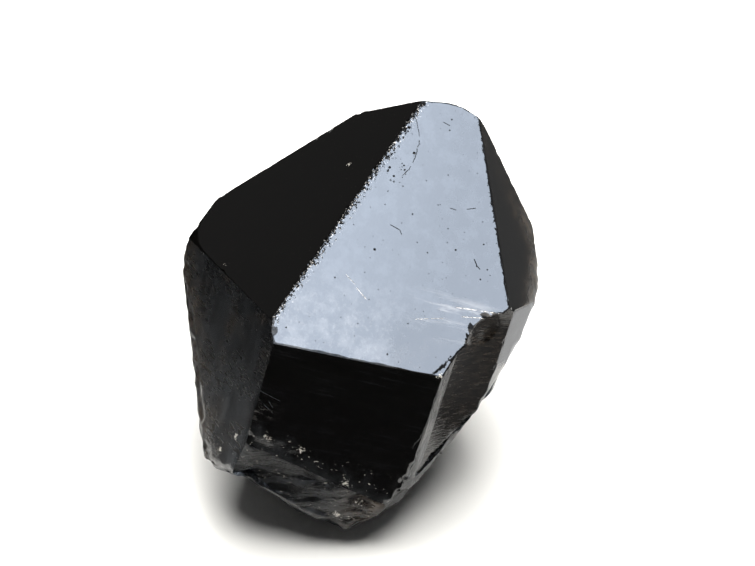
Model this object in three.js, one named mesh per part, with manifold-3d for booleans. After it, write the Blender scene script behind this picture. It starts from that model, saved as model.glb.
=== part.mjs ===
// A loose crystal of morion, the black kind of smoky quartz, standing on its broken base.
// It is one stout six-sided prism with a tip of six slanting faces, a step down its right side,
// and broken surfaces at the left, the right and underneath.
// Millimetres, +Z up. The origin ends up at the middle of the bottom of the bounding box.
import * as THREE from 'three';
import { ConvexGeometry } from 'three/addons/geometries/ConvexGeometry.js';
import { TessellateModifier } from 'three/addons/modifiers/TessellateModifier.js';
import * as BufferGeometryUtils from 'three/addons/utils/BufferGeometryUtils.js';
import Module from 'manifold-3d';

const wasm = await Module();
wasm.setup();

// How the crystal's long axis (c) leans away from upright, and how far the crystal is turned about it.
const LEAN = 24.5;
const LEAN_TOWARDS = 48.3;
const TURN = -91.8;

// In quartz the prism faces stand square to the long axis and the tip's faces are 51.8 degrees from it.
const PRISM = 90;
const TIP = 51.8;

// Faces of the crystal: where each looks, round the long axis and down from it in degrees, and how far
// it lies from the centre in millimetres. Azimuth 0 is the front and +60 is the front right.
const crystalFaces = {
  frontTip: { azimuth: 0, polar: TIP, distance: 10.2 },
  leftTip: { azimuth: -60, polar: TIP, distance: 13.6 },
  rightTip: { azimuth: 60, polar: TIP, distance: 18.6 },
  backLeftTip: { azimuth: -120, polar: TIP, distance: 23.9 },
  backRightTip: { azimuth: 120, polar: TIP, distance: 25.2 },
  backTip: { azimuth: 180, polar: TIP, distance: 23.6 },
  front: { azimuth: 1.9, polar: PRISM, distance: 15.0 },
  left: { azimuth: -60, polar: PRISM, distance: 17.9 },
  backLeft: { azimuth: -120, polar: PRISM, distance: 26.9 },
  backRight: { azimuth: 120, polar: PRISM, distance: 21.0 },
  back: { azimuth: 180, polar: PRISM, distance: 25.0 },
};

// The right side grew in two layers. The inner layer shows as a strip beside the front face. The outer
// layer stands STEP_HEIGHT further out, and its front edge is a hollow in facets that steepen outwards.
const STRIP_DISTANCE = 15.9;
const STEP_HEIGHT = 2.8;
const strip = { azimuth: 60, polar: PRISM, distance: STRIP_DISTANCE };
const outerRight = { azimuth: 60, polar: PRISM, distance: STRIP_DISTANCE + STEP_HEIGHT };
const stepFacets = [
  { azimuth: 48, polar: PRISM, distance: 17.0 },
  { azimuth: 40, polar: PRISM, distance: 16.7 },
  { azimuth: 31, polar: PRISM, distance: 15.85 },
];

// Broken surfaces: the compass direction each looks, counted from +X, its slope up or down in degrees,
// and its distance from the centre in millimetres. frontFoot is the break along the foot of the front.
const brokenFaces = {
  topBreak: { compass: 88.1, slope: 38.5, distance: 26.3 },
  tipChip: { compass: 59, slope: 16, distance: 25.2 },
  leftBreak: { compass: 172.7, slope: -24, distance: 25.2 },
  rightBreakHigh: { compass: -1, slope: -25, distance: 20.4 },
  rightBreak: { compass: -17, slope: -31.5, distance: 19.6 },
  frontFoot: { compass: -93, slope: 7.5, distance: 18.7 },
  underLeft: { compass: -124, slope: -36, distance: 28.5 },
  underFront: { compass: -146, slope: -51, distance: 28.8 },
  underFrontRight: { compass: -55.7, slope: -45, distance: 26.3 },
  underRight: { compass: -37.7, slope: -24.5, distance: 20.6 },
  underBack: { compass: 82, slope: -52, distance: 29.5 },
};
const BASE_DEPTH = 24.5;
const FAR = 60;

// How finely the faces are divided, how far the broken surfaces swell and sink, and how lumpy the
// left face is, in millimetres.
const LONGEST_EDGE = 3.2;
const DIVIDE_PASSES = 40;
const BREAK_RELIEF = 0.55;
const LEFT_RELIEF = 0.22;
const ON_FACE = 0.01;

const degrees = THREE.MathUtils.degToRad;

// Turns the crystal about its long axis, then leans that axis.
function crystalTurn() {
  const towards = degrees(LEAN_TOWARDS);
  const hinge = new THREE.Vector3(-Math.sin(towards), Math.cos(towards), 0);
  const lean = new THREE.Matrix4().makeRotationAxis(hinge, degrees(LEAN));
  return lean.multiply(new THREE.Matrix4().makeRotationZ(degrees(TURN)));
}

const turn = crystalTurn();

function crystalPlane({ azimuth, polar, distance }) {
  const normal = new THREE.Vector3().setFromSphericalCoords(1, degrees(polar), degrees(azimuth));
  // three.js counts its sphere from +Y and +Z, so its axes are renamed to the crystal's.
  normal.set(normal.z, normal.x, normal.y).transformDirection(turn);
  return { normal, distance, broken: false };
}

function brokenPlane({ compass, slope, distance }) {
  const level = Math.cos(degrees(slope));
  const normal = new THREE.Vector3(
    level * Math.cos(degrees(compass)),
    level * Math.sin(degrees(compass)),
    Math.sin(degrees(slope)),
  );
  return { normal, distance, broken: true };
}

const flatPlanes = Object.values(crystalFaces).map(crystalPlane);
const breakPlanes = Object.values(brokenFaces).map(brokenPlane);
const leftPlane = crystalPlane(crystalFaces.left);
const stripPlane = crystalPlane(strip);
const outerPlane = crystalPlane(outerRight);
const stepPlanes = stepFacets.map(crystalPlane);
const basePlane = { normal: new THREE.Vector3(0, 0, -1), distance: BASE_DEPTH, broken: false };
const outerPlanes = [...flatPlanes, ...breakPlanes, basePlane, outerPlane];
const hollowPlanes = [stripPlane, ...stepPlanes];
const allPlanes = [...outerPlanes, ...hollowPlanes];

const height = (plane, point) => plane.normal.dot(point) - plane.distance;

// The point where three planes meet, or null where they don't meet in one point.
function meetingPoint(a, b, c) {
  const bc = new THREE.Vector3().crossVectors(b.normal, c.normal);
  const volume = a.normal.dot(bc);
  if (Math.abs(volume) < 1e-6) return null;
  const ca = new THREE.Vector3().crossVectors(c.normal, a.normal);
  const ab = new THREE.Vector3().crossVectors(a.normal, b.normal);
  const sum = bc.multiplyScalar(a.distance);
  sum.addScaledVector(ca, b.distance).addScaledVector(ab, c.distance);
  return sum.divideScalar(volume);
}

// The block of space that lies behind every one of the planes.
function blockBehind(planes) {
  const corners = [];
  for (let i = 0; i < planes.length; i += 1) {
    for (let j = i + 1; j < planes.length; j += 1) {
      for (let k = j + 1; k < planes.length; k += 1) {
        const corner = meetingPoint(planes[i], planes[j], planes[k]);
        if (corner && planes.every((plane) => height(plane, corner) < 1e-5)) corners.push(corner);
      }
    }
  }
  return new ConvexGeometry(corners);
}

function welded(geometry) {
  geometry.deleteAttribute('normal');
  geometry.deleteAttribute('uv');
  return BufferGeometryUtils.mergeVertices(geometry, 1e-4);
}

function toSolid(geometry) {
  const merged = welded(geometry);
  return new wasm.Manifold(new wasm.Mesh({
    numProp: 3,
    vertProperties: new Float32Array(merged.attributes.position.array),
    triVerts: new Uint32Array(merged.index.array),
  }));
}

function toGeometry(solid) {
  const mesh = solid.getMesh();
  const geometry = new THREE.BufferGeometry();
  geometry.setAttribute('position', new THREE.BufferAttribute(mesh.vertProperties, 3));
  geometry.setIndex(new THREE.BufferAttribute(mesh.triVerts, 1));
  return geometry;
}

// The same plane looking the other way.
function flipped(plane) {
  return { normal: plane.normal.clone().negate(), distance: -plane.distance };
}

// The crystal with flat faces all round: the outer layer's block, less the space in front of the strip
// and of the hollow's facets.
function sharpCrystal() {
  const axes = [new THREE.Vector3(1, 0, 0), new THREE.Vector3(0, 1, 0), new THREE.Vector3(0, 0, 1)];
  const walls = axes.flatMap((axis) => [
    { normal: axis, distance: FAR },
    { normal: axis.clone().negate(), distance: FAR },
  ]);
  const missing = toSolid(blockBehind([...hollowPlanes.map(flipped), ...walls]));
  return toGeometry(toSolid(blockBehind(outerPlanes)).subtract(missing));
}

// Gentle swells, from waves in three slanting directions, each bent by the one before.
function swell(point, length) {
  const step = (2 * Math.PI) / length;
  const a = Math.sin(step * (0.8 * point.x + 0.5 * point.y - 0.3 * point.z) + 1.1);
  const b = Math.sin(step * (-0.4 * point.x + 0.9 * point.y + 0.7 * point.z) * 1.2 + 0.4 + 1.6 * a);
  const c = Math.sin(step * (0.5 * point.x - 0.6 * point.y + 0.9 * point.z) * 1.7 + 2.3 + 1.9 * b);
  return 0.35 * a + 0.35 * b + 0.3 * c;
}

// Moves that a point on these flat faces can make without leaving them.
function keptOnFaces(move, faces) {
  if (faces.length === 0) return move;
  if (faces.length === 1) return move.projectOnPlane(faces[0].normal);
  if (faces.length > 2) return move.set(0, 0, 0);
  return move.projectOnVector(new THREE.Vector3().crossVectors(faces[0].normal, faces[1].normal));
}

// Roughens the broken surfaces, lets their rims wander over the flat faces they cut, and makes the left
// face lumpy. The other crystal faces and the base stay flat.
function weather(geometry) {
  const position = geometry.attributes.position;
  const point = new THREE.Vector3();
  for (let i = 0; i < position.count; i += 1) {
    point.fromBufferAttribute(position, i);
    const touching = allPlanes.filter((plane) => Math.abs(height(plane, point)) < ON_FACE);
    const broken = touching.filter((plane) => plane.broken);
    const flat = touching.filter((plane) => !plane.broken);
    const move = new THREE.Vector3();
    if (broken.length > 0) {
      broken.forEach((plane) => move.add(plane.normal));
      move.normalize().multiplyScalar(BREAK_RELIEF * (swell(point, 11) - 0.35));
      keptOnFaces(move, flat);
    } else if (flat.length === 1 && Math.abs(height(leftPlane, point)) < ON_FACE) {
      move.copy(leftPlane.normal).multiplyScalar(LEFT_RELIEF * (swell(point, 7) - 0.6));
    }
    point.add(move);
    position.setXYZ(i, point.x, point.y, point.z);
  }
}

// Puts the origin at the middle of the bottom of the bounding box.
function standOnFloor(geometry) {
  geometry.computeBoundingBox();
  const box = geometry.boundingBox;
  const middle = box.getCenter(new THREE.Vector3());
  geometry.translate(-middle.x, -middle.y, -box.min.z);
}

function crystalGeometry() {
  const divider = new TessellateModifier(LONGEST_EDGE, DIVIDE_PASSES);
  const geometry = welded(divider.modify(sharpCrystal().toNonIndexed()));
  weather(geometry);
  standOnFloor(geometry);
  const faceted = geometry.toNonIndexed();
  faceted.computeVertexNormals();
  return faceted;
}

const crystal = new THREE.Mesh(
  crystalGeometry(),
  new THREE.MeshStandardMaterial({ color: 0x17171a, roughness: 0.12, metalness: 0 }),
);
crystal.name = 'morion_crystal';

const part = new THREE.Group();
part.add(crystal);

export default part;
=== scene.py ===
import itertools
import math

import bpy
import numpy as np
from mathutils import Matrix, Vector


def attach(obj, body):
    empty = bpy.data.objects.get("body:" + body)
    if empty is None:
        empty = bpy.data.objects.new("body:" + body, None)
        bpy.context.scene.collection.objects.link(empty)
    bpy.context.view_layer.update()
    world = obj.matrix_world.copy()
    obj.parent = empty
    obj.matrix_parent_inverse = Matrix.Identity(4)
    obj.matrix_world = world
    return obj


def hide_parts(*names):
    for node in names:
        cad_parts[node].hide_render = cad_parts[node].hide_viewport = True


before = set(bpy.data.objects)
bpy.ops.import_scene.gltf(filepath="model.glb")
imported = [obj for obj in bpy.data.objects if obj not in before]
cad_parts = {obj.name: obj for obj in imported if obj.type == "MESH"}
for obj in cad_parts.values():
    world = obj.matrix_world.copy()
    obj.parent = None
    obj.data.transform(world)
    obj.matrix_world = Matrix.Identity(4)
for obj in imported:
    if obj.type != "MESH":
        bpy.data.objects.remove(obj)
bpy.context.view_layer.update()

mm = 0.001

# where the crystal stands and how it is turned, shared by its shape and its material

crystal = {
    "centre": (1.56, -2.62, 24.5),  # millimetres, from the middle of the bottom of its box
    "lean": 24.5,                   # degrees between its long axis and upright
    "leanTowards": 48.3,            # compass direction the long axis leans to, from +X
    "turn": -91.8,                  # turn about the long axis
    "tipAngle": 51.8,               # quartz: a tip face's normal from the long axis
}


def crystalAxes():
    # the crystal's own axes as columns: towards the front face, to its right, along the long axis
    towards = math.radians(crystal["leanTowards"])
    hinge = np.array([-math.sin(towards), math.cos(towards), 0.0])
    lean, turn = math.radians(crystal["lean"]), math.radians(crystal["turn"])
    cross = np.array([[0, -hinge[2], hinge[1]], [hinge[2], 0, -hinge[0]], [-hinge[1], hinge[0], 0]])
    tilt = np.eye(3) + math.sin(lean) * cross + (1 - math.cos(lean)) * cross @ cross
    spin = np.array([[math.cos(turn), -math.sin(turn), 0], [math.sin(turn), math.cos(turn), 0], [0, 0, 1.0]])
    return tilt @ spin


axes = crystalAxes()


def crystalNormal(azimuth, polar):
    a, p = math.radians(azimuth), math.radians(polar)
    return axes @ np.array([math.sin(p) * math.cos(a), math.sin(p) * math.sin(a), math.cos(p)])


def compassNormal(compass, slope):
    a, s = math.radians(compass), math.radians(slope)
    return np.array([math.cos(s) * math.cos(a), math.cos(s) * math.sin(a), math.sin(s)])


# the planes that bound the crystal, each with its distance from the centre in millimetres

tip = crystal["tipAngle"]
grownFaces = {                      # azimuth round the long axis, angle from it, distance
    "frontTip": (0, tip, 10.2),
    "leftTip": (-60, tip, 13.6),
    "rightTip": (60, tip, 18.6),
    "backLeftTip": (-120, tip, 23.9),
    "backRightTip": (120, tip, 25.2),
    "backTip": (180, tip, 23.6),
    "front": (1.9, 90, 15.0),
    "left": (-60, 90, 17.9),
    "backLeft": (-120, 90, 26.9),
    "backRight": (120, 90, 21.0),
    "back": (180, 90, 25.0),
    "outerRight": (60, 90, 18.7),
}
stepFaces = {                       # the strip beside the front face and the hollow beyond it
    "strip": (60, 90, 15.9),
    "hollow": (40.5, 90, 16.7),
}
brokenFaces = {                     # compass direction, slope, distance
    "topBreak": (88.1, 38.5, 26.3),
    "tipChip": (59, 16, 25.2),
    "leftBreak": (172.7, -24, 25.2),
    "rightBreakHigh": (-1, -25, 20.4),
    "rightBreak": (-17, -31.5, 19.6),
    "frontFoot": (-93, 7.5, 18.7),
    "underLeft": (-124, -36, 28.5),
    "underFront": (-146, -51, 28.8),
    "underFrontRight": (-55.7, -45, 26.3),
    "underRight": (-37.7, -24.5, 20.6),
    "underBack": (82, -52, 29.5),
}
finishFaces = {                     # the faces that share a finish, marked by a mesh attribute each
    "frontTip": ("frontTip",),
    "front": ("front",),
    "left": ("left",),
    "rightTip": ("rightTip",),
    "hollow": ("hollow",),
    "strip": ("strip",),
    "outer": ("outerRight",),
    "foot": ("frontFoot",),
    "broken": tuple(name for name in brokenFaces if name != "frontFoot"),
    "back": ("backLeftTip", "backRightTip", "backTip", "backLeft", "backRight", "back"),
    "backPrism": ("backLeft", "backRight", "back"),
    "prism": ("front", "backLeft", "backRight", "back", "outerRight", "strip"),
}
faceNames = [*grownFaces, *stepFaces, *brokenFaces, "base"]
faceIndex = {name: i for i, name in enumerate(faceNames)}
normals = np.array(
    [crystalNormal(a, p) for a, p, d in [*grownFaces.values(), *stepFaces.values()]]
    + [compassNormal(c, s) for c, s, d in brokenFaces.values()]
    + [[0.0, 0.0, -1.0]]
)
distances = np.array(
    [d for *_, d in [*grownFaces.values(), *stepFaces.values(), *brokenFaces.values()]]
    + [crystal["centre"][2]]
)
isStep = np.array([name in stepFaces for name in faceNames])
isBroken = np.array([name in brokenFaces for name in faceNames])

meshing = {
    "edgeStep": 0.45,               # spacing of points along the crystal's edges, millimetres
    "fineStep": 0.22,               # the same on the edges of the faces in fineFaces
    "fineFaces": ("frontTip", "front"),
    "chippedStep": 0.13,            # the same on the edge of frontTip and leftTip, which is jagged
    "firstRing": 0.07,              # a face's rings lie this close at its rim
    "ringGrowth": 1.5,              # and widen by this factor up to ringStep
    "ringStep": {"left": 0.6, "hollow": 0.45, "frontFoot": 0.35, "underFront": 0.6, "underLeft": 0.6},
    "brokenRingStep": 0.8,
    "flatRingStep": 2.2,
    "cornerSlack": 1e-6,            # how far off a plane a point may be and still count as on it: for
    "planeSlack": 1e-4,             # corners, for points on edges and faces, and for the finished mesh
    "touchSlack": 2e-3,
    "sharpAngle": 28,               # edges sharper than this stay crisp, degrees
}


def heightsAbove(points):
    return points @ normals.T - distances


def solidCorners():
    # every point where three planes meet that is on the crystal: behind all the outer planes, and not
    # inside the space in front of both step planes
    trios = np.array(list(itertools.combinations(range(len(normals)), 3)))
    sets = normals[trios]
    slack = meshing["cornerSlack"]
    solvable = np.abs(np.linalg.det(sets)) > slack
    trios, sets = trios[solvable], sets[solvable]
    points = np.linalg.solve(sets, distances[trios][..., None])[..., 0]
    heights = heightsAbove(points)
    behind = heights[:, ~isStep].max(axis=1) < slack
    ahead = heights[:, isStep].min(axis=1)
    onStep = isStep[trios].any(axis=1)
    kept = points[behind & np.where(onStep, ahead > -slack, ahead < slack)]
    order = np.unique(np.round(kept, 5), axis=0, return_index=True)[1]
    return kept[order]


def edgePoints(start, end):
    # points from start towards end, end left out, the same whichever way round the edge is asked for
    shared = (np.abs(heightsAbove(np.stack([start, end]))) < meshing["planeSlack"]).all(axis=0)
    onFine = any(shared[faceIndex[name]] for name in meshing["fineFaces"])
    step = meshing["fineStep"] if onFine else meshing["edgeStep"]
    if shared[faceIndex["frontTip"]] and shared[faceIndex["leftTip"]]:
        step = meshing["chippedStep"]
    count = max(2, math.ceil(np.linalg.norm(end - start) / step))
    shares = np.linspace(0, 1, count + 1)
    if tuple(np.round(start, 4)) < tuple(np.round(end, 4)):
        return (start + (end - start) * shares[:, None])[:-1]
    return (end + (start - end) * shares[::-1, None])[:-1]


def ringShares(reach, step):
    # share(ring) = 1 - inset / reach, where the insets start at the rim and widen up to step
    insets, gap = [0.0], meshing["firstRing"]
    while insets[-1] + gap < reach - 0.4 * step:
        insets.append(insets[-1] + gap)
        gap = min(gap * meshing["ringGrowth"], step)
    return 1 - np.array(insets[::-1]) / reach


def facePatch(name, corners):
    # a face is rings about its middle: point(ring, place) = middle + share(ring) * (rim(place) - middle)
    plane = faceIndex[name]
    onPlane = corners[np.abs(corners @ normals[plane] - distances[plane]) < meshing["planeSlack"]]
    middle = onPlane.mean(axis=0)
    across = onPlane[0] - middle
    across /= np.linalg.norm(across)
    up = np.cross(normals[plane], across)
    angles = np.arctan2((onPlane - middle) @ up, (onPlane - middle) @ across)
    ring = onPlane[np.argsort(angles)]
    rim = np.concatenate([edgePoints(a, b) for a, b in zip(ring, np.roll(ring, -1, axis=0))])
    usual = meshing["brokenRingStep"] if isBroken[plane] else meshing["flatRingStep"]
    reach = np.linalg.norm(ring - middle, axis=1).max()
    shares = ringShares(reach, meshing["ringStep"].get(name, usual))
    rings = len(shares)
    points = middle + shares[:, None, None] * (rim - middle)
    around = np.arange(len(rim))
    following = np.roll(around, -1)
    start = 1 + np.arange(rings - 1)[:, None] * len(rim)
    quads = np.stack(
        [start + around, start + len(rim) + around, start + len(rim) + following, start + following], axis=-1
    ).reshape(-1, 4)
    fan = np.stack([np.zeros_like(around), 1 + around, 1 + following], axis=-1)
    return np.concatenate([middle[None], points.reshape(-1, 3)]), quads, fan


def wholeSurface(corners):
    # every face's patch, welded along the edges: points, quads, triangles, and the face of each of these
    points, quads, fans, faceOf = [], [], [], []
    first = 0
    for name in faceNames:
        patch, patchQuads, patchFan = facePatch(name, corners)
        points.append(patch)
        quads.append(patchQuads + first)
        fans.append(patchFan + first)
        faceOf.append((faceIndex[name], len(patchQuads), len(patchFan)))
        first += len(patch)
    points = np.concatenate(points)
    kept, welded = np.unique(np.round(points, 4), axis=0, return_index=True, return_inverse=True)[1:]
    quads, fans = welded.ravel()[np.concatenate(quads)], welded.ravel()[np.concatenate(fans)]
    face, quadCount, fanCount = np.array(faceOf).T
    return points[kept], quads, fans, np.concatenate([np.repeat(face, quadCount), np.repeat(face, fanCount)])


def waves(points, length, seed):
    # a smooth random field near -1 to 1: the mean of cosine waves in random directions, whose lengths
    # lie about the given one
    rng, count = np.random.default_rng(seed), relief["waveCount"]
    ways = rng.normal(size=(count, 3))
    ways /= np.linalg.norm(ways, axis=1)[:, None]
    ways *= (2 * math.pi / length * rng.uniform(0.6, 1.5, count))[:, None]
    return np.cos(points @ ways.T + rng.uniform(0, 2 * math.pi, count)).sum(axis=1) / math.sqrt(count)


relief = {                          # lengths in millimetres
    "swell": 0.55,                  # how far broken surfaces swell, and the swells' length
    "swellLength": 11,
    "sink": 0.35,                   # share of the swell by which they lie back
    "lumps": 0.10,                  # lumps on the breaks, and their length
    "lumpLength": 3.6,
    "footLayers": 0.22,             # level layers of the foot: how far they step, and their height
    "layerHeight": 1.7,
    "layerSlope": 0.25,             # how they climb towards the front, and how far they wander
    "layerWander": 0.9,
    "layerRise": 0.75,              # share of a layer over which it swells out
    "footHollow": 0.9,              # the shell-shaped hollow at the foot's left end: depth, middle, reach
    "footHollowAt": (-13.5, -19.6, -13.2),
    "footHollowReach": (4.6, 3.0, 2.4),
    "leftSwell": 0.03,              # swells on the left face, and their length
    "leftSwellLength": 7,
    "leftRim": 0.18,                # bumpy rim of the left face, the bumps' length, how far in it lies
    "leftRimLength": 2.2,
    "leftRimIn": 0.9,
    "hollowDepth": 0.45,            # how far the hollow sags, over this width
    "hollowWidth": 2.8,
    "waveCount": 24,                # cosine waves in a random field
}

wear = {
    "grownEdge": 0.045,             # how round worn edges are, millimetres
    "brokenEdge": 0.28,
    "brokenReach": 1.2,             # how far from a break its roundness fades out
    "sharpBreaks": ("topBreak", "tipChip"),
    "stripEdge": 0.5,               # the strip's edge is rounder low down, and how far that reaches
    "stripReach": 1.5,
    "stripBelow": -6,               # where up the long axis that starts, and over what length it grows
    "stripGrows": 8,
    "unevenness": 0.3,              # share by which the roundness varies, and the length it varies over
    "unevenLength": 2.5,
    "sharpest": 0.02,
    "chipReach": 2.5,               # chips are only looked for this close to their edge
    "chipSeed": 5,
}
usualChips = (0.9, 0.30, 1.2)       # chips to a millimetre of edge, smallest and largest width
chippedEdges = {                    # the same for edges that aren't as usual
    ("frontTip", "leftTip"): (4.2, 0.18, 0.75),
    ("frontTip", "front"): (0.6, 0.12, 0.28),
    ("frontTip", "rightTip"): (1.8, 0.15, 0.40),
    ("rightTip", "outerRight"): (0.8, 0.20, 0.5),
    ("frontTip", "hollow"): (1.5, 0.20, 0.6),
    ("front", "strip"): (0.8, 0.20, 0.6),
    ("front", "left"): (1.2, 0.20, 0.7),
    ("leftTip", "left"): (0.9, 0.20, 0.8),
}
scoop = {                           # the dip at the hollow's top: a ball cut, in millimetres
    "middle": (9.9, 14.1, 3.9),     # on the crystal's axes
    "azimuth": 40.5,                # the way it opens
    "radius": 6.0,
    "width": 6.8,
    "least": 0.01,                  # a face cut by more than this gets the hollow's finish
}


def swell(points, length):
    # gentle swells: sine waves in three slanting directions, each bent by the one before
    step = 2 * math.pi / length
    a = np.sin(step * (points @ [0.8, 0.5, -0.3]) + 1.1)
    b = np.sin(step * (points @ [-0.4, 0.9, 0.7]) * 1.2 + 0.4 + 1.6 * a)
    c = np.sin(step * (points @ [0.5, -0.6, 0.9]) * 1.7 + 2.3 + 1.9 * b)
    return 0.35 * a + 0.35 * b + 0.3 * c


def breakRelief(points):
    # height of a break: long swells and lumps
    return (
        relief["swell"] * (swell(points, relief["swellLength"]) - relief["sink"])
        + relief["lumps"] * waves(points, relief["lumpLength"], 2)
    )


def footRelief(points):
    # the foot steps out in level layers, height = a saw with rounded teeth of the level, bent by waves,
    # and has a shell-shaped hollow at its left end
    wander = relief["layerSlope"] * points[:, 0] + relief["layerWander"] * waves(points, 8, 11)
    level = (points[:, 2] + wander) / relief["layerHeight"]
    share, rise = level - np.floor(level), relief["layerRise"]
    saw = np.where(share < rise, share / rise, (1 - share) / (1 - rise)) - 0.5
    strength = np.clip(0.6 + 0.6 * waves(points, 5, 12), 0, 1.3)
    spot = ((points - relief["footHollowAt"]) / relief["footHollowReach"]) ** 2
    hollow = np.exp(-((spot.sum(axis=1)) ** 1.5))
    return relief["footLayers"] * saw * strength - relief["footHollow"] * hollow


def keptOnFaces(move, flat):
    # takes from each move what would leave the flat faces that its point lies on
    flats = flat.sum(axis=1)
    for plane in np.flatnonzero(~isBroken):
        rows = flat[:, plane] & (flats == 1)
        move[rows] -= (move[rows] @ normals[plane])[:, None] * normals[plane]
    for one, two in itertools.combinations(np.flatnonzero(~isBroken), 2):
        rows = flat[:, one] & flat[:, two] & (flats == 2)
        if rows.any():
            line = np.cross(normals[one], normals[two])
            line /= np.linalg.norm(line)
            move[rows] = (move[rows] @ line)[:, None] * line
    move[flats > 2] = 0
    return move


def weather(points):
    # breaks get their relief, their rims wander over the flat faces, the left face gets lumps and the
    # hollow sinks
    heights = heightsAbove(points)
    touching = np.abs(heights) < meshing["touchSlack"]
    broken = touching & isBroken
    flat = touching & ~isBroken
    outward = broken.astype(float) @ normals
    size = np.linalg.norm(outward, axis=1)
    onBreak = size > 0.1
    outward[onBreak] /= size[onBreak, None]
    height = breakRelief(points)
    onFoot = broken[:, faceIndex["frontFoot"]]
    height[onFoot] += footRelief(points[onFoot])
    move = keptOnFaces(outward * (height * onBreak)[:, None], flat)
    left, flats = faceIndex["left"], flat.sum(axis=1)
    inLeft = flat[:, left] & (flats == 1) & ~onBreak
    toRim = -np.delete(heights, left, axis=1).max(axis=1)
    lumps = relief["leftSwell"] * (swell(points, relief["leftSwellLength"]) - 0.6)
    lumps *= np.clip(toRim / 2.0, 0, 1)
    bumps = relief["leftRim"] * (waves(points, relief["leftRimLength"], 22) - 0.6)
    toBreak = -heights[:, faceIndex["leftBreak"]]
    rimIn = relief["leftRimIn"]
    lumps += bumps * np.exp(-((toRim - rimIn) / 0.7) ** 2) * np.exp(-((toBreak - rimIn) / 1.2) ** 2)
    move[inLeft] += normals[left] * lumps[inLeft, None]
    hollow, strip = faceIndex["hollow"], faceIndex["strip"]
    inHollow = flat[:, hollow] & (flats == 1)
    climb = np.clip(heights[:, strip] / relief["hollowWidth"], 0, 1)
    sag = relief["hollowDepth"] * 4 * climb * (1 - climb)
    move[inHollow] -= normals[hollow] * sag[inHollow, None]
    return points + move


def rounded(points, flatPoints):
    # wears the edges: the surface height = 0 becomes smooth maximum of heights = 0, where the smooth
    # maximum is softness * log(sum of exp(height / softness)); heights are those before weathering
    heights = heightsAbove(flatPoints)
    strip, hollow = faceIndex["strip"], faceIndex["hollow"]
    notch = np.minimum(heights[:, strip], heights[:, hollow])
    notchNormal = np.where((heights[:, strip] < heights[:, hollow])[:, None], normals[strip], normals[hollow])
    outer = np.flatnonzero(~isStep)
    allHeights = np.concatenate([heights[:, outer], notch[:, None]], axis=1)
    rounder = isBroken & ~np.isin(faceNames, wear["sharpBreaks"])
    toBreak = -heights[:, rounder].max(axis=1)
    nearBreak = np.exp(-((toBreak / wear["brokenReach"]) ** 2))
    softness = wear["grownEdge"] + (wear["brokenEdge"] - wear["grownEdge"]) * nearBreak
    low = np.clip((wear["stripBelow"] - flatPoints[:, 2]) / wear["stripGrows"], 0, 1)
    toStrip = heights[:, [strip, faceIndex["front"]]] / wear["stripReach"]
    softness = softness + wear["stripEdge"] * low * np.exp(-(toStrip ** 2)).prod(axis=1)
    softness = softness * (1 + wear["unevenness"] * waves(flatPoints, wear["unevenLength"], 31))
    softness = np.maximum(softness, wear["sharpest"])[:, None]
    shares = np.exp(allHeights / softness)
    excess = softness[:, 0] * np.log(shares.sum(axis=1))
    gradient = shares[:, :-1] @ normals[outer] + shares[:, -1:] * notchNormal
    gradient /= np.linalg.norm(gradient, axis=1)[:, None]
    return points - gradient * np.maximum(excess, 0)[:, None]


def ballCut(points, near, spot, out, radius, width):
    # a ball that stands out from the spot takes away what it holds: a point inside it moves in along
    # the ball's own direction until it lies on the ball
    depth = radius - math.sqrt(max(radius ** 2 - (width / 2) ** 2, 0))
    offset = points[near] - (spot + out * (radius - depth))
    rise = offset @ out
    side = (offset ** 2).sum(axis=1) - rise ** 2
    inside = np.sqrt(np.clip(radius ** 2 - side, 0, None))
    inward = np.where((side < radius ** 2) & (rise > -radius), np.clip(rise + inside, 0, depth), 0)
    points[near] -= out * inward[:, None]
    return inward


def chipped(points, corners):
    # small ball cuts along the edges of the grown faces
    rng = np.random.default_rng(wear["chipSeed"])
    for one, two in itertools.combinations([*grownFaces, *stepFaces], 2):
        density, narrow, wide = chippedEdges.get((one, two), usualChips)
        pair = [faceIndex[one], faceIndex[two]]
        ends = corners[(np.abs(heightsAbove(corners)[:, pair]) < meshing["planeSlack"]).all(axis=1)]
        if len(ends) < 2 or {one, two} == {"strip", "hollow"}:
            continue
        count = round(density * np.linalg.norm(ends[-1] - ends[0]))
        near = np.flatnonzero(np.abs(heightsAbove(points)[:, pair]).max(axis=1) < wear["chipReach"])
        for place in rng.uniform(0.0, 1.0, count):
            spot = ends[0] + (ends[-1] - ends[0]) * place
            width = narrow + (wide - narrow) * rng.uniform() ** 2.5
            blend = rng.uniform(0.1, 0.9)
            out = normals[pair[0]] * blend + normals[pair[1]] * (1 - blend) + rng.normal(0, 0.15, 3)
            out /= np.linalg.norm(out)
            ballCut(points, near, spot, out, width * rng.uniform(0.6, 1.1), width)
    return points


def scooped(points, faceOf, quads, fans):
    # cuts the scoop, and gives the front tip face's part of it the hollow's finish
    spot = axes @ np.array(scoop["middle"])
    out = crystalNormal(scoop["azimuth"], 90)
    inward = ballCut(points, np.arange(len(points)), spot, out, scoop["radius"], scoop["width"])
    cut = np.concatenate([inward[quads].min(axis=1), inward[fans].min(axis=1)]) > scoop["least"]
    faceOf[cut & (faceOf == faceIndex["frontTip"])] = faceIndex["hollow"]
    return points


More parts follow.
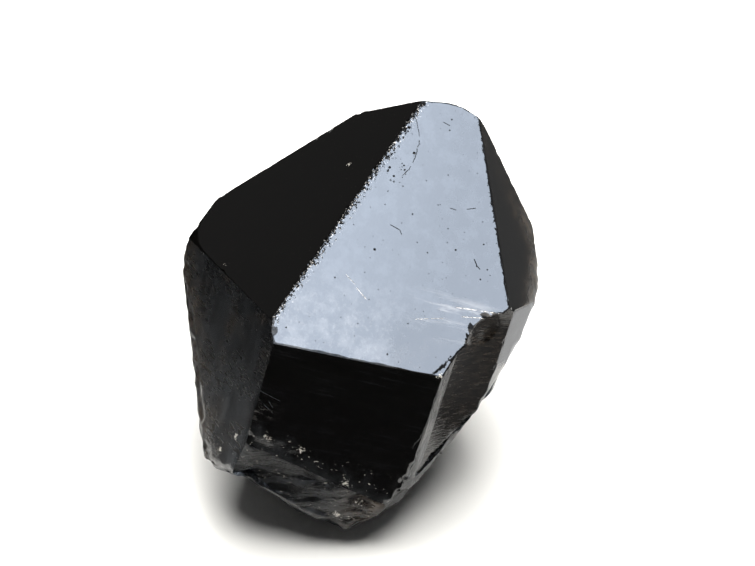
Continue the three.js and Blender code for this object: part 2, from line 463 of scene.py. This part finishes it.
def morionMesh():
    corners = solidCorners()
    flatPoints, quads, fans, faceOf = wholeSurface(corners)
    points = chipped(rounded(weather(flatPoints), flatPoints), corners)
    points = scooped(points, faceOf, quads, fans)
    placed = (points + np.array(crystal["centre"])) * mm
    placed[:, 2] = np.maximum(placed[:, 2], 0)      # nothing reaches below the surface it rests on
    mesh = bpy.data.meshes.new("morionCrystal")
    mesh.from_pydata(placed.tolist(), [], quads.tolist() + fans.tolist())
    for label, names in finishFaces.items():
        layer = mesh.attributes.new(label, "FLOAT", "FACE")
        chosen = np.isin(faceOf, [faceIndex[name] for name in names])
        layer.data.foreach_set("value", chosen.astype(np.float32))
    mesh.shade_smooth()
    mesh.set_sharp_from_angle(angle=math.radians(meshing["sharpAngle"]))
    mesh.validate()
    print("crystal mesh:", len(mesh.vertices), "points", len(mesh.polygons), "faces")
    return mesh


crystalObject = bpy.data.objects.new("morionCrystal", morionMesh())
bpy.context.scene.collection.objects.link(crystalObject)
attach(crystalObject, "root")
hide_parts("morion_crystal")
print("crystal built")

morion = {                          # black quartz with nothing to be seen inside it
    "ior": 1.544,
    "bodyColour": (0.0010, 0.0009, 0.0008),
    # bluish haze on the front tip face, partly a painted reflection of a bright bluish light
    "hazeAndReflectionColour": (0.66, 0.77, 0.95),
    "paleColour": (0.95, 0.91, 0.87),
    "frostColour": (0.58, 0.64, 0.72),
    "brownColour": (0.66, 0.48, 0.32),
    "fleckColour": (0.93, 0.89, 0.80),
    "cleanRoughness": 0.03,
    "dullRoughness": 0.85,
    "striaDepth": 0.012,            # level lines on the prism faces, millimetres
    "glintAmount": 0.65,
}
darkMarks = {                       # fine cuts in the front tip face: ends as (right, up) on the face and
    "hook": ((-0.8, 7.55), (0.6, 7.15), 0.055),  # half their width, millimetres
    "hookEnd": ((0.6, 7.15), (0.95, 6.6), 0.045),
    "arc": ((6.4, 12.0), (7.3, 11.95), 0.045),
    "dash": ((8.6, 12.45), (9.8, 12.95), 0.045),
    "squiggle": ((10.9, 5.95), (11.4, 5.2), 0.065),
    "squiggleEnd": ((11.3, 5.25), (11.95, 4.75), 0.055),
    "topDash": ((3.1, 23.75), (4.1, 23.5), 0.05),
}
paleMarks = {                       # scratches on the front tip face, in the same way
    "scratchLong": ((-3.31, -1.95), (-1.57, -3.26), 0.055),
    "scratchHigh": ((-5.0, -0.6), (-3.4, -1.7), 0.035),
    "scratchRight": ((4.6, -4.2), (8.8, -2.9), 0.03),
    "scratchTop": ((9.3, -1.2), (16.2, -0.35), 0.07),
    "scratchBelow": ((10.6, -2.2), (15.0, -1.35), 0.05),
}
lowMarks = {                        # scratches low on the front face, (right, up the long axis)
    "scratchOne": ((-12.2, -9.6), (-8.8, -10.5), 0.035),
    "scratchTwo": ((-11.6, -10.9), (-9.3, -12.4), 0.03),
    "scratchThree": ((-10.6, -10.6), (-9.6, -11.6), 0.03),
}
# pale chips, partly painted glints: bright specks laid into the colour as highlights
glints = {                          # pale chips: place on the crystal's axes and size, millimetres
    "leftCorner": ((13.2, -13.2, -17.7), 0.75),
    "leftCornerLow": ((10.8, -14.5, -21.3), 0.6),
    "leftEdge": ((0.2, -20.4, 0.1), 0.55),
    "leftTip": ((-4.55, -7.6, 16.5), 0.4),
    "rightCorner": ((14.6, 9.6, -2.0), 0.55),
    "lowRim": ((15.3, -9.0, -15.8), 0.65),
    "lowRimMiddle": ((15.2, -4.6, -16.4), 0.6),
    "footMiddle": ((15.0, 2.0, -19.6), 0.75),
    "footRight": ((14.6, 4.7, -22.1), 0.95),
    "footTip": ((14.0, 2.4, -24.7), 0.85),
    "footLow": ((13.2, 6.6, -23.6), 0.75),
}
growthLine = {                      # the arc where one growth layer ends, and the pits below it
    "middle": (-7.9, 18.9),
    "radius": 8.2,
    "halfWidth": 0.045,
    "pits": (-1.6, 15.2),
    "pitsReach": 1.9,
}

quartz = bpy.data.materials.new("blackSmokyQuartz")
quartz.use_nodes = True
tree = quartz.node_tree


def made(nodeTree, kind, values, **settings):
    # a node of this kind, with its settings and with its inputs wired or set
    node = nodeTree.nodes.new("ShaderNode" + kind)
    for name, setting in settings.items():
        setattr(node, name, setting)
    for name, value in values.items():
        if isinstance(value, bpy.types.NodeSocket):
            nodeTree.links.new(value, node.inputs[name])
        else:
            node.inputs[name].default_value = value
    return node


def reckon(operation, *values):
    return made(tree, "Math", dict(enumerate(values)), operation=operation).outputs[0]


def joined(operation, values):
    result = values[0]
    for value in values[1:]:
        result = reckon(operation, result, value)
    return result


def both(*values):
    return joined("MULTIPLY", values)


def either(*values):
    return joined("MAXIMUM", values)


def total(terms):
    # the sum of weight * value over the terms
    return joined("ADD", [reckon("MULTIPLY", value, weight) for weight, value in terms])


def eased(value, low, high, first=0.0, last=1.0):
    # first below low, last above high, smooth between
    values = {"Value": value, "From Min": low, "From Max": high, "To Min": first, "To Max": last}
    return made(tree, "MapRange", values, interpolation_type="SMOOTHSTEP").outputs["Result"]


def within(value, full, none):
    # 1 up to full, 0 from none on
    return eased(value, full, none, 1.0, 0.0)


def along(where, direction):
    values = {0: where, 1: tuple(direction)}
    return made(tree, "VectorMath", values, operation="DOT_PRODUCT").outputs["Value"]


def tinted(start, terms):
    # the start colour plus each colour by its amount
    result = start
    for colour, amount in terms:
        share = made(tree, "VectorMath", {0: colour, "Scale": amount}, operation="SCALE").outputs["Vector"]
        result = made(tree, "VectorMath", {0: result, 1: share}, operation="ADD").outputs["Vector"]
    return result


def stretched(where, scales, turn=(0.0, 0.0, 0.0)):
    return made(tree, "Mapping", {"Vector": where, "Scale": scales, "Rotation": turn}).outputs["Vector"]


def noise(where, size, detail=2.0, roughness=0.5, bend=0.0):
    return made(tree, "TexNoise", {
        "Vector": where, "Scale": 1 / size, "Detail": detail, "Roughness": roughness, "Distortion": bend,
    }).outputs[0]


def spots(where, size, radius):
    # round spots of every size up to the radius, most of them small: 1 inside and 0 outside
    cells = made(tree, "TexVoronoi", {"Vector": where, "Scale": 1 / size})
    draw = made(tree, "SeparateColor", {"Color": cells.outputs["Color"]}).outputs["Red"]
    own = both(draw, draw, draw, radius / size)
    return within(reckon("SUBTRACT", cells.outputs["Distance"], own), -0.03, 0.0)


def bites(where, distance, reach):
    # a ragged rim: most of it is bitten off at the edge and hardly any at the reach
    worn = noise(where, 0.42, 4.0, 0.65)
    return eased(total([(1.0, worn), (-0.24 / reach, distance)]), 0.42, 0.45)


def chipsAndGlints(place):
    # the glints: grains around each place, fewer towards its rim; pale chips with painted highlights on them
    grains = noise(place, 0.22, 3.0, 0.75)
    result = []
    for middle, size in glints.values():
        off = made(tree, "VectorMath", {0: place, 1: middle}, operation="DISTANCE").outputs["Value"]
        result += [eased(total([(1.0, grains), (-0.22 / size, off)]), 0.43, 0.47)]
    return either(*result)


def mask(label):
    return made(tree, "Attribute", {}, attribute_name=label).outputs["Fac"]


def apart(right, up, spot):
    # distance on the face = square root of the squares' sum
    sideways, upward = reckon("SUBTRACT", right, spot[0]), reckon("SUBTRACT", up, spot[1])
    return reckon("SQRT", reckon("ADD", both(sideways, sideways), both(upward, upward)))


def lineMark(right, up, start, end, halfWidth):
    # 1 on the straight line from start to end: near the line, and cut off at its two ends
    start, end = np.array(start), np.array(end)
    length = float(np.linalg.norm(end - start))
    ahead, across = (end - start) / length, np.array([end[1] - start[1], start[0] - end[0]]) / length
    run = total([(float(ahead[0]), right), (float(ahead[1]), up)])
    off = total([(float(across[0]), right), (float(across[1]), up)])
    offLine = reckon("ABSOLUTE", reckon("SUBTRACT", off, float(across @ start)))
    offMiddle = reckon("ABSOLUTE", reckon("SUBTRACT", run, float(ahead @ (start + end) / 2)))
    return both(within(offLine, halfWidth * 0.4, halfWidth), within(offMiddle, length * 0.36, length * 0.5))


def lineMarks(right, up, marks):
    return either(*(lineMark(right, up, *mark) for mark in marks.values()))


def growthMark(place, right, up):
    # an arc, broken up along its way
    wander = total([(1.0, apart(right, up, growthLine["middle"])), (-0.5, noise(place, 1.3))])
    offArc = reckon("ABSOLUTE", reckon("SUBTRACT", wander, growthLine["radius"]))
    halfWidth = growthLine["halfWidth"]
    return both(within(offArc, halfWidth * 0.5, halfWidth), eased(up, 14.5, 15.5), eased(right, -4.0, -1.0),
                eased(noise(place, 0.7), 0.42, 0.52))


def pitCluster(right, up):
    # 1 in the middle of the patch of close pits at the growth line's end
    reach = growthLine["pitsReach"]
    return within(apart(right, up, growthLine["pits"]), reach * 0.6, reach)


# Each finish has its looks beside it: amounts are shares of a colour laid over the black, a pair is the
# least and the most, and depths and sizes are millimetres. It gives the surface's relief, its colours and
# how dull it is, from 0 to 1.

tipLook = {
    "pits": ((1.0, 0.15, 1.0), (3.1, 0.30, 1.0), (0.6, 0.09, 0.5)),  # spacing, largest radius, strength
    "clusterPits": (0.38, 0.20),
    "pitDepth": 0.06,
    "scratchDepth": 0.012,
    "leftRim": 0.85,                # how far in the ragged rims reach
    "rightRim": 0.30,
    "hollowRim": 0.30,
    # haze with painted reflection: a bluish tint, strongest at the left and thinner low down at the right
    "hazeAndReflection": 0.062,                  # strongest at the left
    "hazeMottle": 0.026,
    "hazeBrushed": 0.012,
    "hazeGap": 0.056,               # what is missing of it low down at the right
    "cloud": 0.050,                 # the pale cloud low down at the left, and its finer grain
    "cloudGrain": 0.045,
    "streaks": 0.200,
    "scratches": 0.900,
    "specks": 0.5,
}


def tipFinish(place, height):
    # the front tip face: pits, fine cuts, scratches, ragged rims, haze with a painted bluish reflection, and
    # pale streaks
    slope = math.radians(crystal["tipAngle"])
    right = along(place, (0, 1, 0))
    up = along(place, (-math.cos(slope), 0, math.sin(slope)))
    toLeftTip = reckon("ABSOLUTE", height("leftTip"))
    toRightTip = reckon("ABSOLUTE", height("rightTip"))
    toHollow = reckon("ABSOLUTE", height("hollow"))
    cuts = either(*(both(spots(place, size, radius), strength) for size, radius, strength in tipLook["pits"]),
                  lineMarks(right, up, darkMarks), growthMark(place, right, up),
                  both(spots(place, *tipLook["clusterPits"]), pitCluster(right, up)),
                  bites(place, toLeftTip, tipLook["leftRim"]), bites(place, toRightTip, tipLook["rightRim"]),
                  bites(place, toHollow, tipLook["hollowRim"]))
    specks = both(within(toLeftTip, 0.2, 1.1), eased(noise(place, 0.24, 2.0), 0.62, 0.66))
    scratches = both(lineMarks(right, up, paleMarks), eased(noise(place, 0.45, 2.0), 0.35, 0.55))
    lowLeft = both(within(up, -8.0, 2.0), eased(right, -2.0, 7.0, 1.0, 0.25))
    mottle = eased(noise(place, 2.6, 5.0, 0.62), 0.42, 0.66)
    streaks = noise(stretched(place, (1.1, 0.13, 1.1), (-0.12, 0.0, 0.0)), 1.0, 4.0, 0.6)
    streakZone = both(within(up, -1.2, 0.8), eased(up, -7.0, -2.6), eased(right, 2.0, 9.0))
    brushed = noise(stretched(place, (0.3, 2.4, 0.3), (0.5, 0.0, 0.0)), 1.0, 3.0, 0.6)
    # haze and painted reflection: a bluish tint that brightens the face towards the left
    hazeAndReflection = total([
        (tipLook["hazeMottle"], mottle),
        (tipLook["hazeBrushed"], brushed),
        (tipLook["hazeAndReflection"], eased(right, -9.0, 11.0, 1.0, 0.02)),
        (-tipLook["hazeGap"], both(within(up, -9.0, -2.0), eased(right, 0.0, 6.0))),
    ])
    pale = total([
        (tipLook["cloud"], both(lowLeft, mottle)),
        (tipLook["cloudGrain"], both(lowLeft, eased(noise(place, 0.5, 4.0, 0.7), 0.50, 0.66))),
        (tipLook["streaks"], both(streakZone, eased(streaks, 0.47, 0.66))),
        (tipLook["scratches"], scratches),
    ])
    whole = within(cuts, 0.0, 0.6)
    return {
        "relief": [(-tipLook["pitDepth"], cuts), (-tipLook["scratchDepth"], scratches)],
        "colour": [(morion["hazeAndReflectionColour"], both(reckon("MAXIMUM", hazeAndReflection, 0.0), whole)),
                   (morion["paleColour"], both(pale, whole)),
                   (morion["paleColour"], both(specks, tipLook["specks"]))],
        "dull": cuts,
    }


frontLook = {
    "lowDepth": 0.06,               # the rough band along the foot
    "lowFrost": 0.022,
    "lowDull": 0.26,
    "striae": 0.008,
    "scratches": 0.110,
    "smear": 0.05,                  # a faint pale smear low down at the left
    "sparks": 0.65,
}


def frontFinish(place, height):
    # the front face: level striae, a few scratches, and sparks where it meets the broken foot
    right, up = along(place, (0, 1, 0)), along(place, (0, 0, 1))
    toFoot = total([(-1.0, height("frontFoot")), (1.6, noise(place, 1.8, 3.0, 0.6))])
    striae = noise(stretched(place, (0.14, 0.14, 3.4)), 1.0, 4.0, 0.7)
    scratches = both(lineMarks(right, up, lowMarks), eased(noise(place, 0.4, 2.0), 0.38, 0.55))
    low = within(toFoot, 0.7, 1.5)
    wisps = noise(stretched(place, (0.5, 0.5, 1.6), (0.5, 0.0, 0.0)), 0.7, 4.0, 0.65)
    smear = both(within(right, -12.0, -7.5), eased(up, -15.0, -12.5), within(up, -12.5, -9.5),
                 eased(wisps, 0.50, 0.66))
    grains = noise(stretched(place, (1.0, 0.6, 1.3)), 0.40, 3.0, 0.7)
    sparks = both(within(toFoot, 1.1, 1.7), eased(grains, 0.66, 0.69))
    frost = total([
        (frontLook["striae"], eased(striae, 0.52, 0.70)),
        (frontLook["lowFrost"], low),
        (frontLook["scratches"], scratches),
    ])
    return {
        "relief": [(frontLook["lowDepth"], both(low, noise(place, 0.9, 3.0)))],
        "colour": [(morion["frostColour"], frost),
                   (morion["fleckColour"], both(sparks, frontLook["sparks"])),
                   (morion["paleColour"], both(smear, frontLook["smear"]))],
        "dull": both(low, frontLook["lowDull"]),
    }


leftLook = {
    "dashDepth": 0.006,
    "dashDull": 0.8,
    "swellDepth": 0.006,
    "frost": (0.009, 0.026),
    "clouds": 0.012,
    "specks": 0.07,
    "dull": (0.08, 0.15),
    "rimDepth": 0.09,               # the lumpy, browner outer rim
    "rimBrown": (0.004, 0.050),
    "rimDull": 0.35,
}


def leftFinish(place, height):
    # the left face: uneven frost, lighter low down partly as painted reflection of the floor, with level dark
    # dashes in drifts, and a lumpy outer rim
    rim = within(reckon("ABSOLUTE", height("leftBreak")), 0.5, 6.0)
    # frost stronger low down: partly a painted reflection of the bright floor that this face mirrors
    low = eased(along(place, (0, 0, 1)), -23.0, -4.0, 1.9, 0.8)
    dashes = both(eased(noise(stretched(place, (0.5, 0.5, 1.9)), 0.75, 3.0), 0.52, 0.60),
                  eased(noise(place, 4.2, 2.0), 0.45, 0.56))
    specks = eased(noise(stretched(place, (1.0, 1.0, 0.5)), 0.36, 2.0), 0.72, 0.75)
    lumps = noise(place, 1.0, 3.0, 0.6)
    mottle = noise(stretched(place, (1.0, 1.0, 0.4)), 2.2, 4.0, 0.6)
    clouds = eased(noise(place, 5.0, 3.0, 0.6), 0.50, 0.68)
    return {
        "relief": [(-leftLook["dashDepth"], dashes), (leftLook["rimDepth"], both(rim, lumps)),
                   (leftLook["swellDepth"], noise(place, 2.4, 2.0))],
        "colour": [
            (morion["frostColour"], both(eased(mottle, 0.34, 0.66, *leftLook["frost"]), low,
                                         eased(dashes, 0.0, 1.0, 1.0, 0.05))),
            (morion["brownColour"], both(rim, eased(lumps, 0.35, 0.7, *leftLook["rimBrown"]))),
            (morion["brownColour"], both(clouds, leftLook["clouds"])),
            (morion["paleColour"], both(specks, leftLook["specks"])),
        ],
        "dull": either(eased(mottle, 0.3, 0.7, *leftLook["dull"]), both(rim, leftLook["rimDull"]),
                       both(dashes, leftLook["dashDull"])),
    }


hollowLook = {"lineDepth": 0.05, "brown": (0.003, 0.033), "dull": (0.05, 0.33)}


def hollowFinish(place):
    # the hollow: brown, darker low down, with fine lines across it
    lines = noise(stretched(place, (0.35, 0.35, 3.2), (0.35, 0, 0)), 0.8, 3.0, 0.65)
    low = eased(along(place, (0, 0, 1)), -14.0, 1.0, 0.45, 1.0)
    return {
        "relief": [(hollowLook["lineDepth"], lines)],
        "colour": [(morion["brownColour"], both(eased(lines, 0.42, 0.66, *hollowLook["brown"]), low))],
        "dull": eased(lines, 0.4, 0.7, *hollowLook["dull"]),
    }


footLook = {
    "layerDepth": 0.22,
    "shellDepth": 0.25,
    "leftFrost": 0.066,
    "rightFrost": 0.060,
    "rightBrown": 0.16,
    "flecks": 0.75,
    "dull": (0.15, 0.45),
}


def footFinish(where, place):
    # the broken foot: level frosted layers, browner to the right, with cream flecks
    layers = noise(stretched(where, (230, 180, 1300), (0.0, -0.22, 0.0)), 1.0, 6.0, 0.65, 0.5)
    shell = noise(place, 2.6, 4.0, 0.55, 0.8)
    toRight = eased(along(place, (0, 1, 0)), 0.0, 7.0)
    grains = noise(stretched(place, (1.0, 0.6, 1.4)), 0.45, 4.0, 0.75)
    flecks = both(eased(grains, 0.62, 0.65), eased(noise(place, 2.6), 0.43, 0.55),
                  eased(toRight, 0.0, 1.0, 0.35, 1.0))
    frost = both(eased(layers, 0.36, 0.68, 0.10, 1.0), eased(shell, 0.35, 0.70, 0.35, 1.0))
    amount = eased(toRight, 0.0, 1.0, footLook["leftFrost"], footLook["rightFrost"])
    return {
        "relief": [(footLook["layerDepth"], layers), (footLook["shellDepth"], shell)],
        "colour": [
            (morion["frostColour"], both(frost, amount)),
            (morion["brownColour"], both(frost, toRight, footLook["rightBrown"])),
            (morion["fleckColour"], both(flecks, footLook["flecks"])),
        ],
        "dull": eased(layers, 0.3, 0.7, *footLook["dull"]),
    }


stripLook = {"lineDepth": 0.03, "frost": (0.012, 0.10), "dull": (0.08, 0.33)}


def stripFinish(place):
    # the strip beside the front face: frosted lines up and down, more of them low down
    lines = noise(stretched(place, (2.6, 2.6, 0.22)), 1.0, 3.0, 0.6)
    low = eased(along(place, (0, 0, 1)), -15.0, -3.0, 1.0, 0.15)
    return {
        "relief": [(stripLook["lineDepth"], lines)],
        "colour": [(morion["frostColour"], both(low, eased(lines, 0.40, 0.66, *stripLook["frost"])))],
        "dull": eased(lines, 0.35, 0.65, *stripLook["dull"]),
    }


breakLook = {"shellDepth": 0.16, "splinterDepth": 0.056, "frost": (0.004, 0.040), "dull": (0.08, 0.33)}


def breakFinish(place):
    # every other break: shell-shaped lumps and splinters with a little frost
    shell = noise(place, 1.9, 4.0, 0.55, 0.6)
    splinters = noise(stretched(place, (1.0, 1.0, 1.6)), 0.55, 3.0, 0.6)
    return {
        "relief": [(breakLook["shellDepth"], shell), (breakLook["splinterDepth"], splinters)],
        "colour": [(morion["frostColour"], eased(splinters, 0.40, 0.70, *breakLook["frost"]))],
        "dull": eased(shell, 0.35, 0.65, *breakLook["dull"]),
    }


rightLook = {"frost": 0.004, "rimDepth": 0.05, "rimBrown": (0.010, 0.085), "rimDull": 0.45}


def rightFinish(place, height):
    # the right tip face: a worn, mottled rim along its outer edges
    toRim = reckon("MINIMUM", reckon("ABSOLUTE", height("rightBreakHigh")),
                   reckon("ABSOLUTE", height("backRightTip")))
    rim = both(within(total([(1.0, toRim), (2.0, noise(place, 1.6))]), 1.2, 5.4),
               eased(along(place, (0, 0, 1)), 13.0, 21.0, 1.0, 0.15))
    lumps = noise(place, 0.9, 4.0, 0.65)
    return {
        "relief": [(rightLook["rimDepth"], both(rim, lumps))],
        "colour": [(morion["frostColour"], rightLook["frost"]),
                   (morion["brownColour"], both(rim, eased(lumps, 0.42, 0.68, *rightLook["rimBrown"])))],
        "dull": both(rim, rightLook["rimDull"]),
    }


backLook = {
    "pits": ((1.3, 0.22), (3.3, 0.36)),  # spacing, largest radius
    "pitDepth": 0.036,
    "pitDull": 0.5,
    "waveDepth": 0.015,
    "bloom": (0.001, 0.017),
    "bloomDull": 0.12,
}


def backFinish(place):
    # the grown faces behind: pits and a thin uneven bloom
    pits = either(*(spots(place, *pit) for pit in backLook["pits"]))
    bloom = noise(place, 4.5, 5.0, 0.62)
    return {
        "relief": [(-backLook["pitDepth"], pits), (backLook["waveDepth"], noise(place, 1.4, 3.0, 0.6))],
        "colour": [(morion["frostColour"], eased(bloom, 0.46, 0.72, *backLook["bloom"]))],
        "dull": either(both(pits, backLook["pitDull"]), eased(bloom, 0.44, 0.66, 0.0, backLook["bloomDull"])),
    }


backPrismLook = {"stepDepth": 0.05, "lineDepth": 0.010, "frost": 0.02, "dull": (0.02, 0.12)}


def backPrismFinish(place):
    # level steps and lines across the prism's back faces
    steps = noise(stretched(place, (0.05, 0.05, 1.3)), 1.0, 5.0, 0.7)
    lines = noise(stretched(place, (0.12, 0.12, 5.0)), 1.0, 3.0, 0.7)
    return {
        "relief": [(backPrismLook["stepDepth"], steps), (backPrismLook["lineDepth"], lines)],
        "colour": [(morion["frostColour"], eased(lines, 0.55, 0.72, 0.0, backPrismLook["frost"]))],
        "dull": eased(steps, 0.4, 0.7, *backPrismLook["dull"]),
    }


outerLook = {"cloudDepth": 0.02, "frost": (0.002, 0.045), "dull": (0.03, 0.14)}


def outerFinish(place):
    # the outer right face is frosted all over
    cloud = noise(place, 2.5, 4.0, 0.6)
    return {
        "relief": [(outerLook["cloudDepth"], cloud)],
        "colour": [(morion["frostColour"], eased(cloud, 0.3, 0.7, *outerLook["frost"]))],
        "dull": eased(cloud, 0.3, 0.7, *outerLook["dull"]),
    }


def buildMaterial():
    # merges the finishes: each one's relief, colours and dullness times the mask of its faces, added up
    shader = tree.nodes["Principled BSDF"]
    toCrystal = axes.T                  # object coordinates to millimetres on the crystal's axes
    where = made(tree, "TexCoord", {}).outputs["Object"]
    place = made(tree, "Mapping", {
        "Vector": where,
        "Scale": (1 / mm, 1 / mm, 1 / mm),
        "Rotation": Matrix(toCrystal.tolist()).to_euler(),
        "Location": -toCrystal @ np.array(crystal["centre"]),
    }).outputs["Vector"]

    def height(name):
        # millimetres above a face's plane
        plane = faceIndex[name]
        above = along(place, toCrystal @ normals[plane])
        return reckon("SUBTRACT", above, float(distances[plane]))

    striae = noise(stretched(place, (0.10, 0.10, 2.8)), 1.0, 4.0, 0.65)
    finishes = {
        "frontTip": tipFinish(place, height),
        "front": frontFinish(place, height),
        "left": leftFinish(place, height),
        "rightTip": rightFinish(place, height),
        "hollow": hollowFinish(place),
        "foot": footFinish(where, place),
        "strip": stripFinish(place),
        "broken": breakFinish(place),
        "outer": outerFinish(place),
        "back": backFinish(place),
        "backPrism": backPrismFinish(place),
        "prism": {"relief": [(morion["striaDepth"], striae)], "colour": [], "dull": 0.0},
    }
    # pale chips with painted glints, laid on in the fleck colour
    chipAndGlintMask = chipsAndGlints(place)
    relief, dulls = [], [chipAndGlintMask]
    colours = [(morion["fleckColour"], both(chipAndGlintMask, morion["glintAmount"]))]
    for label, finish in finishes.items():
        chosen = mask(label)
        relief += [(1.0, both(chosen, total(finish["relief"])))]
        colours += [(colour, both(chosen, amount)) for colour, amount in finish["colour"]]
        dulls += [both(chosen, finish["dull"])]
    bump = made(tree, "Bump", {"Strength": 1.0, "Distance": mm, "Height": total(relief)})
    tree.links.new(bump.outputs["Normal"], shader.inputs["Normal"])
    gain = morion["dullRoughness"] - morion["cleanRoughness"]
    rough = reckon("MULTIPLY_ADD", either(*dulls), gain, morion["cleanRoughness"])
    tree.links.new(rough, shader.inputs["Roughness"])
    tree.links.new(tinted(morion["bodyColour"], colours), shader.inputs["Base Color"])
    shader.inputs["IOR"].default_value = morion["ior"]


buildMaterial()
crystalObject.data.materials.append(quartz)
print("material made")

studio = {
    "floorReach": 1.2,              # metres
    "floorColour": (0.88, 0.88, 0.87),
    "floorRoughness": 0.9,
    "aimHeight": 0.025,             # how high above the floor the lights point
    "lights": {                     # way towards the light, distance, width, watts, colour, what it does
        "frontSoftbox": ((0.358, -0.228, 0.905), 0.60, 0.215, 1.32, (0.735, 0.838, 1.0), "mirrored"),
        "backSoftbox": ((0.10, 0.50, 0.86), 0.90, 0.50, 4.0, (1.0, 0.98, 0.94), "both"),
        "overhead": ((0.04, 0.22, 0.97), 0.50, 0.60, 7.6, (1.0, 0.985, 0.95), "lights"),
    },
    "roomFront": 0.045,             # brightness of the room at the camera's side and at the back
    "roomBack": 0.12,
    "roomBlend": (-0.5, 0.6),       # where it changes from one to the other
    "roomSeen": 0.85,               # what the camera itself sees behind the floor
    "cardRise": 0.50,               # share of a card's height over which its brightness changes
    # cards out of shot: middle (x, y) in metres, way it faces, half width, height, and its brightness at
    # the bottom and at the top
    "cards": {
        "blackCard": ((0.0, -0.072), (0, 1), 0.13, 0.07, (0.045, 0.045)),
        "rightCard": ((0.088, 0.062), (-0.8, -0.57), 0.10, 0.07, (0.22, 0.22)),
        "leftCard": ((-0.045, 0.005), (1, 0), 0.045, 0.042, (0.29, 0.01)),
        "outerCard": ((0.031, 0.007), (-0.79, -0.61), 0.012, 0.020, (1.35, 1.35)),
        "hollowCard": ((0.0245, -0.0155), (-1, 0), 0.0065, 0.024, (0.02, 0.25)),
        "footCard": ((-0.002, -0.032), (0, 1), 0.022, 0.012, (0.25, 0.05)),
    },
}


def addMesh(name, points, faces, material):
    mesh = bpy.data.meshes.new(name)
    mesh.from_pydata(points, [], faces)
    mesh.materials.append(material)
    item = bpy.data.objects.new(name, mesh)
    bpy.context.scene.collection.objects.link(item)
    return item


def plainMaterial(name, colour, roughness):
    material = bpy.data.materials.new(name)
    material.use_nodes = True
    shader = material.node_tree.nodes["Principled BSDF"]
    shader.inputs["Base Color"].default_value = (*colour, 1)
    shader.inputs["Roughness"].default_value = roughness
    shader.inputs["Specular IOR Level"].default_value = 0.1
    return material


def buildFloor():
    half = studio["floorReach"] / 2
    corners = [(-half, -half, 0), (half, -half, 0), (half, half, 0), (-half, half, 0)]
    material = plainMaterial("paleFloor", studio["floorColour"], studio["floorRoughness"])
    addMesh("floor", corners, [(0, 1, 2, 3)], material)


def cardMaterial(name, low, high):
    # a glow that goes evenly from low at the bottom to high further up
    material = plainMaterial(name, (0, 0, 0), 1.0)
    glowTree = material.node_tree
    where = made(glowTree, "TexCoord", {}).outputs["Generated"]
    up = made(glowTree, "SeparateXYZ", {0: where}).outputs["Z"]
    glow = made(glowTree, "MapRange", {
        "Value": up, "From Max": studio["cardRise"], "To Min": low, "To Max": high,
    })
    shader = glowTree.nodes["Principled BSDF"]
    shader.inputs["Emission Color"].default_value = (1, 1, 1, 1)
    glowTree.links.new(glow.outputs["Result"], shader.inputs["Emission Strength"])
    return material


def buildCards():
    # cards out of shot that the faces mirror; they throw no shadow and light nothing
    for name, ((x, y), way, half, height, glow) in studio["cards"].items():
        side = np.array([-way[1], way[0]]) * half / math.hypot(*way)
        low = [(x - side[0], y - side[1], 0), (x + side[0], y + side[1], 0)]
        corners = low + [(a, b, height) for a, b, _ in reversed(low)]
        card = addMesh(name, corners, [(0, 1, 2, 3)], cardMaterial(name, *glow))
        card.visible_camera = False
        card.visible_diffuse = False
        card.visible_shadow = False


def buildLights():
    target = np.array([0, 0, studio["aimHeight"]])
    for name, (way, distance, width, watts, colour, use) in studio["lights"].items():
        way = np.array(way) / np.linalg.norm(way)
        data = bpy.data.lights.new(name, "AREA")
        data.shape = "DISK"
        data.size = width
        data.energy = watts
        data.color = colour
        light = bpy.data.objects.new(name, data)
        light.visible_camera = False
        light.visible_glossy = use != "lights"
        light.visible_diffuse = use != "mirrored"
        light.location = target + way * distance
        light.rotation_euler = Vector(-way).to_track_quat("-Z", "Y").to_euler()
        bpy.context.scene.collection.objects.link(light)


def buildWorld():
    # a dim room, darker at the camera's side; the camera itself sees a pale backdrop
    world = bpy.data.worlds.new("studio")
    bpy.context.scene.world = world
    world.use_nodes = True
    room = world.node_tree
    where = made(room, "TexCoord", {}).outputs["Generated"]
    back = made(room, "SeparateXYZ", {0: where}).outputs["Y"]
    start, end = studio["roomBlend"]
    blend = made(room, "MapRange", {
        "Value": back, "From Min": start, "From Max": end,
        "To Min": studio["roomFront"], "To Max": studio["roomBack"],
    }, interpolation_type="SMOOTHSTEP").outputs["Result"]
    isCamera = made(room, "LightPath", {}).outputs["Is Camera Ray"]
    seen = made(room, "Mix", {"Factor": isCamera, "A": blend, "B": studio["roomSeen"]})
    background = room.nodes["Background"]
    background.inputs["Color"].default_value = (1, 1, 1, 1)
    room.links.new(seen.outputs["Result"], background.inputs["Strength"])


camera = {
    "lens": 71.5,                   # millimetres, on a sensor this wide
    "sensor": 36,
    "near": 0.01,                   # nearest and furthest that it sees, metres
    "far": 10,
    "elevation": 38.0,              # degrees the camera looks down by
    "fromCentre": (1.0, -157.0, 126.0),  # its place from the crystal's centre, millimetres
}


def buildCamera():
    data = bpy.data.cameras.new("camera")
    data.lens = camera["lens"]
    data.sensor_width = camera["sensor"]
    data.clip_start = camera["near"]
    data.clip_end = camera["far"]
    item = bpy.data.objects.new("camera", data)
    item.location = (np.array(camera["fromCentre"]) + np.array(crystal["centre"])) * mm
    item.rotation_euler = (math.radians(90 - camera["elevation"]), 0, 0)
    bpy.context.scene.collection.objects.link(item)
    bpy.context.scene.camera = item


buildFloor()
buildCards()
buildLights()
buildWorld()
buildCamera()
bpy.context.scene.view_settings.view_transform = "Standard"
print("stage set")
